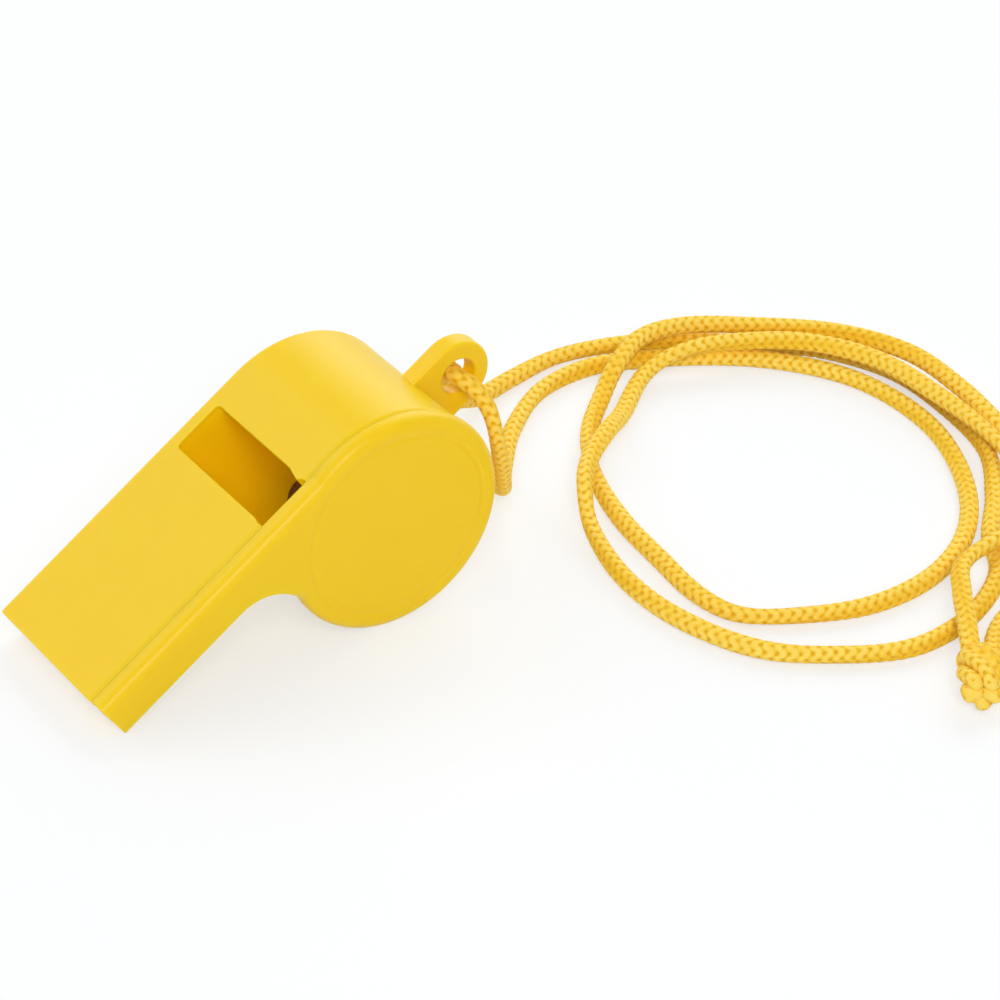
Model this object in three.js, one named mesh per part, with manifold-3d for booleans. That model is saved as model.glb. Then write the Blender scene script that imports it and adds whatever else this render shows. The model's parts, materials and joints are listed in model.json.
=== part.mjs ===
// A moulded pea whistle with a braided neck cord, resting on its chamber and the tip of its mouthpiece.
// Millimetres, +Z up. The origin is the middle of the whistle's footprint box, on the surface it lies on.

import * as THREE from 'three';
import { mergeVertices } from 'three/addons/utils/BufferGeometryUtils.js';
import Module from 'manifold-3d';

const wasm = await Module();
wasm.setup();

// The whistle is drawn in its own side view: u runs from the tip (-) to the lug (+),
// w rises from the chamber's axis to the flat top, and y runs across the whistle.
const CHAMBER_RADIUS = 12.0;
const CHAMBER_WALL = 1.4;
const WHISTLE_WIDTH = 20.0;
const FAR_WALL = 1.65;
const FAR_EDGE_ROUND = 0.3;
const MOUTHPIECE_REACH = 33.9;
const MOUTHPIECE_HEIGHT = 4.5;
const THROAT_RADIUS = 5.2;

// The window, the windway that blows across it, and the labium edge that splits the air
const WINDOW_SETBACK = 3.74;
const WINDOW_LENGTH = 5.96;
const WINDOW_CORNER = 0.5;
const ROOF = 1.2;
const WINDWAY_HEIGHT = 1.2;
const WINDWAY_FLARE = 0.6;
const LABIUM_EDGE = 1.2;
const LABIUM_RAMP = 2.2;

// The cover that closes the near side, with a spigot that locates it in the chamber
const COVER_THICKNESS = 2.2;
const COVER_LIP = 0.35;
const COVER_ROUND = 1.1;
const COVER_THROAT_RADIUS = 2.2;
const COVER_TIP_SETBACK = 0.15;
const SPIGOT_HEIGHT = 0.7;
const RING_DEPTH = 0.25;
const RING_SECTION = 0.45;

// The lug that the cord is threaded through
const LUG_REACH = 15.6;
const LUG_DROP = 0.4;
const LUG_END_RADIUS = 3.9;
const LUG_THICKNESS = 2.2;
const LUG_ROUND = 0.35;
const LUG_HOLE = 4.0;
const LUG_HOLE_DROP = 0.6;

// The pea, and how far it has rolled towards the far wall
const PEA_DIAMETER = 9.0;
const PEA_SIDE = 3.0;

// The cord, the coil of its spare length, and the knot that joins its ends
const CORD_DIAMETER = 2.1;
const COIL_CENTRE = [84, -51];
const COIL_RADIUS = 14.5;
const COIL_PITCH = 2.55;
const COIL_TURNS = 4;
const COIL_START = 165;
const COIL_END = 90;
const KNOT_CENTRE = [42.3, -51.55];
const KNOT_HEADING = 231;
const KNOT_LENGTH = 6.0;
const KNOT_WIDTH = 5.3;
const KNOT_WRAPS = 3;
const KNOT_LEAN = 20;
const TAIL_LENGTH = 3.2;
const TAIL_SPREAD = 18;

// Clearance between pieces that meet, and under the pea
const CLEARANCE = 0.3;

// How far a cut runs past the surface that it opens
const OVERCUT = 1.0;

// Colours of the plastic, the cord and the pea
const PLASTIC_YELLOW = 0xf0ca32;
const CORD_YELLOW = 0xf5be35;
const CORK_BROWN = 0x7a4a22;

// Facets
const WELD = 1e-4;
const ARC_STEP = 5;
const ROUND_STEPS = 4;
const TURN_FACETS = 72;
const HOLE_FACETS = 24;
const CORD_SIDES = 8;
const COIL_SIDES = 6;
const COIL_STEPS = 24;
const RING_SIDES = 12;
const KNOT_SIDES = 20;
const CORE_RINGS = 10;
const PEA_SIDES = 24;
const PEA_RINGS = 16;
const MEASURES_PER_STEP = 5;

const half = WHISTLE_WIDTH / 2;
const seamY = COVER_THICKNESS - half;
const bodyY = seamY + CLEARANCE;
const farInnerY = half - FAR_WALL;
const boreRadius = CHAMBER_RADIUS - CHAMBER_WALL;
const spigotRadius = boreRadius - CLEARANCE;
const coverRadius = CHAMBER_RADIUS + COVER_LIP;
const underside = CHAMBER_RADIUS - MOUTHPIECE_HEIGHT;
const windowRear = -WINDOW_SETBACK;
const windowFront = windowRear - WINDOW_LENGTH;
const cordRadius = CORD_DIAMETER / 2;

const radians = THREE.MathUtils.degToRad;
const degrees = THREE.MathUtils.radToDeg;

// Solids: a closed geometry becomes a manifold for joins and cuts, and the result a geometry again
function solid(geometry) {
  const bare = geometry.clone();
  bare.deleteAttribute('normal');
  bare.deleteAttribute('uv');
  const merged = mergeVertices(bare, WELD);
  return new wasm.Manifold(new wasm.Mesh({
    numProp: 3,
    vertProperties: new Float32Array(merged.attributes.position.array),
    triVerts: new Uint32Array(merged.index.array),
  }));
}

function toGeometry(manifold) {
  const mesh = manifold.getMesh();
  const geometry = new THREE.BufferGeometry();
  geometry.setAttribute('position', new THREE.BufferAttribute(new Float32Array(mesh.vertProperties), 3));
  geometry.setIndex(new THREE.BufferAttribute(new Uint32Array(mesh.triVerts), 1));
  const flat = geometry.toNonIndexed();
  flat.computeVertexNormals();
  return flat;
}

// Points of an arc about (cu, cw), between two angles in degrees
function arc(cu, cw, radius, from, to) {
  const count = Math.max(2, Math.ceil(Math.abs(to - from) / ARC_STEP));
  const points = [];
  for (let i = 0; i <= count; i += 1) {
    const angle = radians(from + (to - from) * i / count);
    points.push(new THREE.Vector2(cu + radius * Math.cos(angle), cw + radius * Math.sin(angle)));
  }
  return points;
}

// A closed circle of points about (cu, cw), for turned rings
function circle(radius, sides, cu, cw = 0) {
  const points = [];
  for (let i = 0; i <= sides; i += 1) {
    const angle = 2 * Math.PI * (i % sides) / sides;
    points.push(new THREE.Vector2(cu + radius * Math.cos(angle), cw + radius * Math.sin(angle)));
  }
  return points;
}

// A side-view outline extruded across the whistle from y0 to y1, with rounded edges where asked
function slab(shape, y0, y1, round = 0) {
  const geometry = new THREE.ExtrudeGeometry(shape, {
    depth: y1 - y0 - 2 * round,
    bevelEnabled: round > 0,
    bevelThickness: round,
    bevelSize: round,
    bevelOffset: -round,
    bevelSegments: ROUND_STEPS,
    curveSegments: HOLE_FACETS / 2,
  });
  geometry.translate(0, 0, round - y1);
  geometry.rotateX(Math.PI / 2);
  return solid(geometry);
}

// A round drum about the chamber's axis, from y0 to y1
function drum(radius, y0, y1) {
  const geometry = new THREE.CylinderGeometry(radius, radius, y1 - y0, TURN_FACETS);
  geometry.translate(0, (y0 + y1) / 2, 0);
  return solid(geometry);
}

// Where a circle about the chamber's axis runs into the flat top, as an angle from +u
function crownAngle(radius) {
  return 180 - degrees(Math.asin(CHAMBER_RADIUS / radius));
}

// The angle at which the throat under the mouthpiece runs into a circle about the chamber's axis
function throatAngle(radius) {
  return 180 - degrees(Math.asin((underside - THROAT_RADIUS) / (radius + THROAT_RADIUS)));
}

// A throat arc of any radius that runs into the circle at that angle
function throatArc(radius, throatRadius) {
  const meet = throatAngle(radius);
  const away = radius + throatRadius;
  const centre = [away * Math.cos(radians(meet)), away * Math.sin(radians(meet))];
  return arc(...centre, throatRadius, 90, meet - 180);
}

// The whole side view: underside, throat arc, round chamber and flat top, counterclockwise
function sideView(radius, tip, throatRadius = THROAT_RADIUS) {
  const throat = throatArc(radius, throatRadius);
  return new THREE.Shape([
    new THREE.Vector2(-tip, throat[0].y),
    ...throat,
    ...arc(0, 0, radius, throatAngle(radius), 360 + crownAngle(radius)).slice(1),
    new THREE.Vector2(-tip, CHAMBER_RADIUS),
  ]);
}

// Window: an upright cut through the top, open to the cover and rounded at its far corners
function windowCut() {
  const far = farInnerY - WINDOW_CORNER;
  const plan = new THREE.Shape([
    new THREE.Vector2(windowFront, bodyY - OVERCUT),
    new THREE.Vector2(windowRear, bodyY - OVERCUT),
    ...arc(windowRear - WINDOW_CORNER, far, WINDOW_CORNER, 0, 90),
    ...arc(windowFront + WINDOW_CORNER, far, WINDOW_CORNER, 90, 180),
  ]);
  return solid(new THREE.ExtrudeGeometry(plan, { depth: CHAMBER_RADIUS + OVERCUT, bevelEnabled: false }));
}

// Windway: a flat channel under the roof, a little taller at the lips than at the window
function windwayCut() {
  const roofW = CHAMBER_RADIUS - ROOF;
  const channel = MOUTHPIECE_REACH + windowFront;
  const rise = WINDWAY_FLARE / channel;
  const tipPast = -MOUTHPIECE_REACH - OVERCUT;
  const windowPast = windowFront + OVERCUT;
  const outline = new THREE.Shape([
    new THREE.Vector2(tipPast, roofW - WINDWAY_HEIGHT - WINDWAY_FLARE - rise * OVERCUT),
    new THREE.Vector2(windowPast, roofW - WINDWAY_HEIGHT + rise * OVERCUT),
    new THREE.Vector2(windowPast, roofW),
    new THREE.Vector2(tipPast, roofW),
  ]);
  return slab(outline, bodyY - OVERCUT, farInnerY);
}

// Labium: the chamber's wall thins to an edge at the back of the window
function labiumCut() {
  const edgeW = CHAMBER_RADIUS - LABIUM_EDGE;
  const rampU = windowRear + LABIUM_RAMP;
  const rampW = Math.sqrt(boreRadius ** 2 - rampU ** 2);
  const inside = rampW - CHAMBER_WALL;
  const outline = new THREE.Shape([
    new THREE.Vector2(windowRear - LABIUM_EDGE, inside),
    new THREE.Vector2(rampU, inside),
    new THREE.Vector2(rampU, rampW),
    new THREE.Vector2(windowRear, edgeW),
    new THREE.Vector2(windowRear - LABIUM_EDGE, edgeW),
  ]);
  return slab(outline, bodyY - OVERCUT, farInnerY);
}

// Lug: a rounded tab behind the chamber, pierced for the cord, with softened edges
function lug() {
  const root = boreRadius;
  const outline = new THREE.Shape([
    new THREE.Vector2(root, -LUG_DROP - LUG_END_RADIUS),
    ...arc(LUG_REACH, -LUG_DROP, LUG_END_RADIUS, -90, 90),
    new THREE.Vector2(root, LUG_END_RADIUS - LUG_DROP),
  ]);
  const hole = new THREE.Path();
  hole.absarc(LUG_REACH, -LUG_HOLE_DROP, LUG_HOLE / 2, 0, 2 * Math.PI, true);
  outline.holes.push(hole);
  return slab(outline, -LUG_THICKNESS / 2, LUG_THICKNESS / 2, LUG_ROUND);
}

// Body: one moulding of far wall, chamber, mouthpiece and lug, open on the near side
function bodyMoulding() {
  const outline = sideView(CHAMBER_RADIUS, MOUTHPIECE_REACH);
  const rounded = slab(outline, bodyY - FAR_EDGE_ROUND, half, FAR_EDGE_ROUND);
  const trimmed = rounded.intersect(slab(outline, bodyY, half));
  return trimmed
    .add(lug())
    .subtract(drum(boreRadius, bodyY - OVERCUT, farInnerY))
    .subtract(windwayCut())
    .subtract(windowCut())
    .subtract(labiumCut());
}

// Cover: a plate of the same outline with a proud rim, a spigot inside and a ring groove outside.
// Its rounding comes from a view with a longer tip and a tighter throat, which fades it out there.
function coverPlate() {
  const tip = MOUTHPIECE_REACH - COVER_TIP_SETBACK;
  const plate = slab(sideView(coverRadius, tip), -half, seamY);
  const softView = sideView(coverRadius, tip + 2 * COVER_ROUND, COVER_THROAT_RADIUS);
  const soft = slab(softView, -half, seamY + COVER_ROUND, COVER_ROUND);
  const section = circle(RING_SECTION, RING_SIDES, spigotRadius, RING_DEPTH - RING_SECTION - half);
  const ring = solid(new THREE.LatheGeometry(section, TURN_FACETS));
  return plate
    .intersect(soft)
    .add(drum(spigotRadius, seamY - CLEARANCE, seamY + SPIGOT_HEIGHT))
    .subtract(ring);
}

function piece(name, geometry, color, roughness) {
  const material = new THREE.MeshStandardMaterial({ color, roughness, metalness: 0 });
  const mesh = new THREE.Mesh(geometry, material);
  mesh.name = name;
  return mesh;
}

// The whistle leans forward until the tip's lower edge and the cover's rim touch the same surface
const lean = Math.atan2(underside, MOUTHPIECE_REACH)
  + Math.asin(coverRadius / Math.hypot(MOUTHPIECE_REACH, underside));
const whistle = new THREE.Group();
whistle.position.z = coverRadius;
whistle.rotation.y = -lean;
whistle.add(
  piece('whistle_body', toGeometry(bodyMoulding()), PLASTIC_YELLOW, 0.42),
  piece('side_cover', toGeometry(coverPlate()), PLASTIC_YELLOW, 0.42),
);

// The pea lies at the bottom of the chamber
const pea = piece('pea', new THREE.SphereGeometry(PEA_DIAMETER / 2, PEA_SIDES, PEA_RINGS), CORK_BROWN, 0.9);
pea.position.set(0, PEA_SIDE, coverRadius - (boreRadius - PEA_DIAMETER / 2 - CLEARANCE));

// Cord: x is measured from the chamber's axis. A point without a height lies on the surface,
// and OVER is the height of a strand that crosses on top of another.
const OVER = cordRadius + CORD_DIAMETER + CLEARANCE;
const lay = (points) => points.map(([x, y, z = cordRadius]) => new THREE.Vector3(x, y, z));

const hole = new THREE.Vector3(LUG_REACH, 0, -LUG_HOLE_DROP)
  .applyEuler(whistle.rotation)
  .add(whistle.position);
const outOfHole = (side) => [CLEARANCE / 2, cordRadius]
  .map((reach) => new THREE.Vector3(hole.x, hole.y + side * reach, hole.z));

// From the near side of the lug: down to the surface, round the inner loop, then the top of the outer
const nearRoute = lay([
  [13.9, -2.0, 20.0],
  [14.6, -3.1, 19.0],
  [15.2, -4.1, 17.2],
  [15.8, -4.4, 14.6],
  [16.9, -3.7, 11.0],
  [18.2, -2.3, 7.4],
  [19.6, -0.6, 4.2],
  [21.4, 2.0, 1.9],
  [24.7, 6.2],
  [29.2, 10.9],
  [35.9, 15.3],
  [43.0, 16.3],
  [49.0, 14.4],
  [55.5, 10.9],
  [61.6, 6.0],
  [66.4, -0.8],
  [68.2, -8.5],
  [67.3, -16.8],
  [63.0, -25.8],
  [57.0, -32.0],
  [49.5, -35.3],
  [41.5, -35.5],
  [34.3, -32.8],
  [29.2, -29.2],
  [27.7, -24.0],
  [28.2, -17.0],
  [29.1, -9.2],
  [31.4, -1.4],
  [35.4, 5.3],
  [41.0, 10.5, 1.2],
  [45.3, 13.2, 2.8],
  [50.0, 15.1, OVER],
  [55.5, 14.3, OVER],
  [62.0, 9.9, OVER],
  [69.1, 3.5, OVER],
  [73.0, -4.0, OVER],
  [73.2, -12.4, OVER],
  [72.2, -20.0, 3.2],
  [71.8, -28.0, 1.8],
  [71.2, -36.0],
]);

// From the far side of the lug: down behind it, over the top, round the outer loop and back inside
const farRoute = lay([
  [13.6, 2.1, 20.1],
  [14.1, 3.5, 19.1],
  [15.2, 5.2, 17.0],
  [17.2, 7.5, 13.2],
  [19.8, 10.2, 8.9],
  [22.6, 13.3, 6.0],
  [25.9, 16.2, 3.3],
  [29.8, 17.9, 1.3],
  [35.0, 19.2],
  [41.5, 20.0],
  [48.0, 18.6],
  [54.5, 15.4],
  [61.0, 10.6],
  [67.4, 4.9],
  [71.2, -2.5],
  [71.7, -11.0],
  [70.2, -20.3],
  [65.2, -27.6],
  [60.0, -33.0],
  [56.4, -38.3],
  [51.4, -41.6],
  [46.0, -43.3],
  [40.0, -43.3],
  [34.0, -40.5],
  [27.5, -35.2],
  [23.8, -27.0],
  [23.1, -18.1],
  [24.9, -9.6, 1.7],
  [27.6, -4.5, OVER],
  [31.2, -0.7, OVER],
  [36.0, 2.7, 3.1],
  [40.8, 6.4, 1.4],
  [47.4, 11.0, 1.7],
  [52.4, 10.3, OVER],
  [58.6, 8.3, OVER],
  [65.1, 3.7, OVER],
  [69.2, -3.5, OVER],
  [70.2, -13.0, OVER],
  [69.8, -22.0, OVER],
  [69.1, -29.0, 1.8],
  [66.6, -36.8],
  [61.2, -42.6],
  [52.8, -44.5],
  [48.8, -46.6, 1.2],
  [45.8, -49.4, 1.7],
]);

// From the coil back over the outer loop to the knot
const endRoute = lay([
  [75.0, -36.5, 3.5],
  [66.5, -36.7, OVER],
  [58.0, -36.4, OVER],
  [52.3, -37.2, 3.0],
  [48.6, -41.2, OVER],
  [46.0, -44.9, OVER],
  [43.6, -48.3, 3.2],
]);

// A smooth curve with one step of the tube between each pair of neighbouring points
class Route extends THREE.CatmullRomCurve3 {
  getUtoTmapping(u) {
    return u;
  }
}

function tube(points, sides) {
  const section = new THREE.Shape(circle(cordRadius, sides, 0).slice(0, sides));
  const geometry = new THREE.ExtrudeGeometry(section, {
    steps: points.length - 1,
    extrudePath: new Route(points),
  });
  return mergeVertices(new THREE.BufferGeometry()
    .setAttribute('position', geometry.attributes.position), WELD)
    .toNonIndexed();
}

// Coil: one layer winds in along the surface, climbs in half a turn, and winds out again on top
const windings = COIL_TURNS + ((COIL_END - COIL_START + 360) % 360) / 360;
const layerRise = COIL_PITCH;
function coilPoint(turn) {
  const middle = windings / 2;
  const climb = THREE.MathUtils.clamp((turn - middle) / 0.5 + 0.5, 0, 1);
  const angle = radians(COIL_START + 360 * turn);
  const radius = COIL_RADIUS - COIL_PITCH * (middle - Math.abs(turn - middle));
  return new THREE.Vector3(
    COIL_CENTRE[0] + radius * Math.cos(angle),
    COIL_CENTRE[1] + radius * Math.sin(angle),
    cordRadius + layerRise * climb,
  );
}

// The way the cord heads as it passes an angle of the coil, on the level
function coilHeading(angle) {
  return new THREE.Vector3(-Math.sin(radians(angle)), Math.cos(radians(angle)), 0);
}

const coilSteps = Math.round(windings * COIL_STEPS);
const loops = [];
for (let i = 0; i <= coilSteps; i += 1) {
  loops.push(coilPoint(windings * i / coilSteps));
}
const startHeading = coilHeading(COIL_START);
const endHeading = coilHeading(COIL_END);
const coilIn = loops[0].clone().addScaledVector(startHeading, -CORD_DIAMETER);
const coilOut = loops[coilSteps].clone().addScaledVector(endHeading, CORD_DIAMETER);
const coilRoute = [coilIn, ...loops, coilOut];

// The least room between the coil's turns, measured on points along it
function leastGap(points, diameter) {
  let least = Infinity;
  for (let i = 0; i < points.length; i += 1) {
    let along = 0;
    for (let j = i + 1; j < points.length; j += 1) {
      along += points[j].distanceTo(points[j - 1]);
      if (along > 3 * diameter) {
        least = Math.min(least, points[i].distanceTo(points[j]) - diameter);
      }
    }
  }
  return least;
}
const fineCoil = new THREE.CatmullRomCurve3(coilRoute).getSpacedPoints(coilSteps * MEASURES_PER_STEP);
const coilGap = leastGap(fineCoil, CORD_DIAMETER);
console.log(`coil: ${windings.toFixed(2)} turns, least gap ${coilGap.toFixed(2)} mm`);

// Cord ends that meet the coil stand clear of it by the clearance, in line with it
const toCoil = [CLEARANCE + cordRadius, CLEARANCE]
  .map((reach) => coilIn.clone().addScaledVector(startHeading, -reach));
const fromCoil = [CLEARANCE, CLEARANCE + cordRadius]
  .map((reach) => coilOut.clone().addScaledVector(endHeading, reach));

// Knot: an overhand knot in both strands, as leaning wraps round a core, with two trimmed tails
function knotForm() {
  const ringRadius = KNOT_WIDTH / 2 - cordRadius;
  const wrapSection = circle(cordRadius, CORD_SIDES, ringRadius);
  const reach = KNOT_LENGTH / 2 - cordRadius;
  let form = solid(new THREE.SphereGeometry(1, KNOT_SIDES, CORE_RINGS)
    .scale(ringRadius, reach, ringRadius));
  for (let i = 0; i < KNOT_WRAPS; i += 1) {
    const side = i % 2 === 0 ? 1 : -1;
    const wrap = new THREE.LatheGeometry(wrapSection, KNOT_SIDES);
    wrap.rotateZ(radians(KNOT_LEAN * side));
    wrap.translate(0, reach * (2 * i / (KNOT_WRAPS - 1) - 1), 0);
    form = form.add(solid(wrap));
  }
  for (const side of [-1, 1]) {
    const tail = new THREE.CylinderGeometry(cordRadius, cordRadius, TAIL_LENGTH, CORD_SIDES);
    tail.translate(0, TAIL_LENGTH / 2, 0);
    tail.rotateZ(radians(TAIL_SPREAD * side));
    tail.translate(0, reach, 0);
    form = form.add(solid(tail));
  }
  return form;
}
const knot = piece('knot', toGeometry(knotForm()), CORD_YELLOW, 0.85);
knot.rotation.z = radians(KNOT_HEADING - 90);
knot.position.set(KNOT_CENTRE[0], KNOT_CENTRE[1], KNOT_WIDTH / 2);

const cord = new THREE.Group();
cord.add(
  piece('cord_near', tube([...outOfHole(-1), ...nearRoute, ...toCoil], CORD_SIDES), CORD_YELLOW, 0.85),
  piece('cord_coil', tube(coilRoute, COIL_SIDES), CORD_YELLOW, 0.85),
  piece('cord_near_end', tube([...fromCoil, ...endRoute], CORD_SIDES), CORD_YELLOW, 0.85),
  piece('cord_far', tube([...outOfHole(1), ...farRoute], CORD_SIDES), CORD_YELLOW, 0.85),
  knot,
);

// The middle of the whistle's own box goes over the origin, and its lowest point on the surface
const object = new THREE.Group();
object.add(whistle, pea, cord);
object.updateMatrixWorld(true);
const box = new THREE.Box3().setFromObject(whistle, true);
object.position.x = -(box.min.x + box.max.x) / 2;

export default object;
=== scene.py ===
# %% [markdown]
# A moulded pea whistle on its neck cord. The whistle is two yellow mouldings with a cork pea
# between them, and the cord is a round braid that ends in a knot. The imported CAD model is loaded
# first as a fixed frame, because every piece made here has to sit where its CAD solid sits.

# %% The frame
import json
import math

import bmesh
import bpy
import numpy as np
from mathutils import Matrix, Vector, noise

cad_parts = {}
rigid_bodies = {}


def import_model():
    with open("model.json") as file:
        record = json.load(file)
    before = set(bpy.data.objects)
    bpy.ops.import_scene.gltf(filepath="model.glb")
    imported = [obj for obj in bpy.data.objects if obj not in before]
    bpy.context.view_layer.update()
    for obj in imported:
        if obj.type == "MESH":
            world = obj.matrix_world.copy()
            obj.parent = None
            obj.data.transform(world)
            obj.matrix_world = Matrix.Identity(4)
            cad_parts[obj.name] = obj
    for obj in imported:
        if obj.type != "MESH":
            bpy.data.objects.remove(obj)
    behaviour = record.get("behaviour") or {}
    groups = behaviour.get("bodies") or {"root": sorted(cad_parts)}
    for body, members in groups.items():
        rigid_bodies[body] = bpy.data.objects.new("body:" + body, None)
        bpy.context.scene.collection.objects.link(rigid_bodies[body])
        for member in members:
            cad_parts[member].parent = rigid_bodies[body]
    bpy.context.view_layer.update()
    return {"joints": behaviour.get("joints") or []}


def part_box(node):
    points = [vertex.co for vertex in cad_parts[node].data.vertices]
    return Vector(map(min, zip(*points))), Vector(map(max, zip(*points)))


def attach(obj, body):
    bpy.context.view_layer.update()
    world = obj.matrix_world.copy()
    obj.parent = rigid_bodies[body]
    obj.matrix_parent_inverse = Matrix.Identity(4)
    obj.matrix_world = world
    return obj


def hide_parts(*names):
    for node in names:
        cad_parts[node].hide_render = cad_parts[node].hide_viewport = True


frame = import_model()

MM = 0.001
axis = Vector(frame["joints"][0]["pos_m"])
print("the chamber's axis passes through", [round(v / MM, 2) for v in axis], "mm")

# %% [markdown]
# A long lens far away gives the flat perspective of a product photograph. It is placed by its
# azimuth, elevation and roll, and its three axes are the columns of its matrix.

# %% The camera
CAMERA_PLACE = Vector((-168.43, -269.90, 239.65)) * MM
CAMERA_AZIMUTH = math.radians(-36.14)
CAMERA_ELEVATION = math.radians(35.44)
CAMERA_ROLL = math.radians(1.5)
LENS = 139.12


def make_camera():
    """A camera that looks back along its third axis."""
    right = Vector((math.cos(CAMERA_AZIMUTH), math.sin(CAMERA_AZIMUTH), 0))
    back = Vector((
        math.sin(CAMERA_AZIMUTH) * math.cos(CAMERA_ELEVATION),
        -math.cos(CAMERA_AZIMUTH) * math.cos(CAMERA_ELEVATION),
        math.sin(CAMERA_ELEVATION),
    ))
    turned = Matrix.Rotation(CAMERA_ROLL, 3, back)
    across, up = turned @ right, turned @ back.cross(right)
    camera = bpy.data.objects.new("camera", bpy.data.cameras.new("camera"))
    camera.data.lens = LENS
    camera.data.clip_start = 0.01
    facing = Matrix((across, up, back)).transposed().to_4x4()
    camera.matrix_world = Matrix.Translation(CAMERA_PLACE) @ facing
    bpy.context.scene.collection.objects.link(camera)
    bpy.context.scene.camera = camera
    return camera


camera = make_camera()
print("camera at", [round(v, 3) for v in camera.location], "with a", LENS, "mm lens")

# %% [markdown]
# The whistle leans forward on its round chamber until the tip of the mouthpiece touches the
# surface, so it is drawn upright in its own side view and turned once. In that view u runs from the
# tip to the lug, w rises to the flat top, and y runs across. The sizes are those of the CAD solids.

# %% The whistle's sizes and its lean, in millimetres
CHAMBER_RADIUS = 12.0
CHAMBER_WALL = 1.4
HALF_WIDTH = 10.0
FAR_WALL = 1.65
REACH = 33.9
MOUTHPIECE_HEIGHT = 4.5
THROAT_RADIUS = 5.2
COVER_RADIUS = 12.35
COVER_THICKNESS = 2.2
BORE_RADIUS = CHAMBER_RADIUS - CHAMBER_WALL
UNDERSIDE = CHAMBER_RADIUS - MOUTHPIECE_HEIGHT
LUG_REACH = 15.6
LUG_HOLE_DROP = 0.6

lean = math.atan2(UNDERSIDE, REACH) + math.asin(COVER_RADIUS / math.hypot(REACH, UNDERSIDE))
upright_to_lying = Matrix.Translation(axis) @ Matrix.Rotation(-lean, 4, "Y") @ Matrix.Scale(MM, 4)
print("the whistle leans by", round(math.degrees(lean), 2), "degrees")

# %% [markdown]
# The cord is one long braid, threaded through the lug's hole. Its two halves are two cords here,
# which meet in the hole: the near one drops from the lug, lies in two loops, goes off to the coil
# that holds the spare length, and comes back to the knot, and the far one lies in two loops and
# ends in the same knot. A route is a short list of places where the cord lies, in millimetres from
# the chamber's axis. A place without a height lies on the surface, and OVER is the height at which a
# strand crosses on top of another.

# %% Where the cord lies
CORD_DIAMETER = 2.1
CORD_RADIUS = CORD_DIAMETER / 2
CLEARANCE = 0.3
OVER = CORD_RADIUS + CORD_DIAMETER + CLEARANCE


def on_surface(places):
    """Places with two or three numbers, from the chamber's axis, as points in metres in the frame."""
    points = [Vector((p[0], p[1], p[2] if len(p) > 2 else CORD_RADIUS)) * MM for p in places]
    return [point + Vector((axis.x, 0, 0)) for point in points]


hole = upright_to_lying @ Vector((LUG_REACH, 0, -LUG_HOLE_DROP))
near_side = [hole, hole + Vector((0, -CORD_RADIUS * MM, 0))]
far_side = [hole, hole + Vector((0, CORD_RADIUS * MM, 0))]

near_drop = on_surface([
    (13.9, -2.0, 20.0), (14.6, -3.1, 19.0), (15.2, -4.1, 17.2), (15.8, -4.4, 14.6),
    (16.9, -3.7, 11.0), (18.2, -2.3, 7.4), (19.6, -0.6, 4.2), (21.4, 2.0, 1.9),
])
near_loops = on_surface([
    (24.7, 6.2), (29.2, 10.9), (35.9, 15.3), (43.0, 16.3), (49.0, 14.4), (55.5, 10.9),
    (61.6, 6.0), (66.4, -0.8), (68.2, -8.5), (67.3, -16.8), (63.0, -25.8), (57.0, -32.0),
    (49.5, -35.3), (41.5, -35.5), (34.3, -32.8), (29.2, -29.2), (27.7, -24.0), (28.2, -17.0),
    (29.1, -9.2), (31.4, -1.4), (35.4, 5.3), (41.0, 10.5, 1.2), (45.3, 13.2, 2.8),
    (50.0, 15.1, OVER), (55.5, 14.3, OVER), (62.0, 9.9, OVER), (69.1, 3.5, OVER),
    (73.0, -4.0, OVER), (73.2, -12.4, OVER), (72.2, -20.0, 3.2), (71.8, -28.0, 1.8), (71.2, -36.0),
])
near_return = on_surface([
    (75.0, -36.5, 3.5), (66.5, -36.7, OVER), (58.0, -36.4, OVER), (52.3, -37.2, 3.0),
    (48.6, -41.2, OVER), (46.0, -44.9, OVER), (43.6, -48.3, 3.2), (42.9, -49.5, 3.1),
])
far_drop = on_surface([
    (13.6, 2.1, 20.1), (14.1, 3.5, 19.1), (15.2, 5.2, 17.0), (17.2, 7.5, 13.2),
    (19.8, 10.2, 8.9), (22.6, 13.3, 6.0), (25.9, 16.2, 3.3), (29.8, 17.9, 1.3),
])
far_loops = on_surface([
    (35.0, 19.2), (41.5, 20.0), (48.0, 18.6), (54.5, 15.4), (61.0, 10.6), (67.4, 4.9),
    (71.2, -2.5), (71.7, -11.0), (70.2, -20.3), (65.2, -27.6), (60.0, -33.0), (56.4, -38.3),
    (51.4, -41.6), (46.0, -43.3), (40.0, -43.3), (34.0, -40.5), (27.5, -35.2), (23.8, -27.0),
    (23.1, -18.1), (24.9, -9.6, 1.7), (27.6, -4.5, OVER), (31.2, -0.7, OVER), (36.0, 2.7, 3.1),
    (40.8, 6.4, 1.4), (47.4, 11.0, 1.7), (52.4, 10.3, OVER), (58.6, 8.3, OVER), (65.1, 3.7, OVER),
    (69.2, -3.5, OVER), (70.2, -13.0, OVER), (69.8, -22.0, OVER), (69.1, -29.0, 1.8),
    (66.6, -36.8), (61.2, -42.6), (52.8, -44.5), (48.8, -46.6, 1.2), (45.8, -49.4, 1.7),
    (44.7, -50.3, 2.1),
])
print("near cord:", len(near_drop + near_loops + near_return), "places,",
      "far cord:", len(far_drop + far_loops), "places")

# %% [markdown]
# The spare length lies in a neat coil beside the loops, just outside the view. A coil is a formula:
# one layer winds in along the surface, climbs in half a turn, and winds out again on top.

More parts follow.
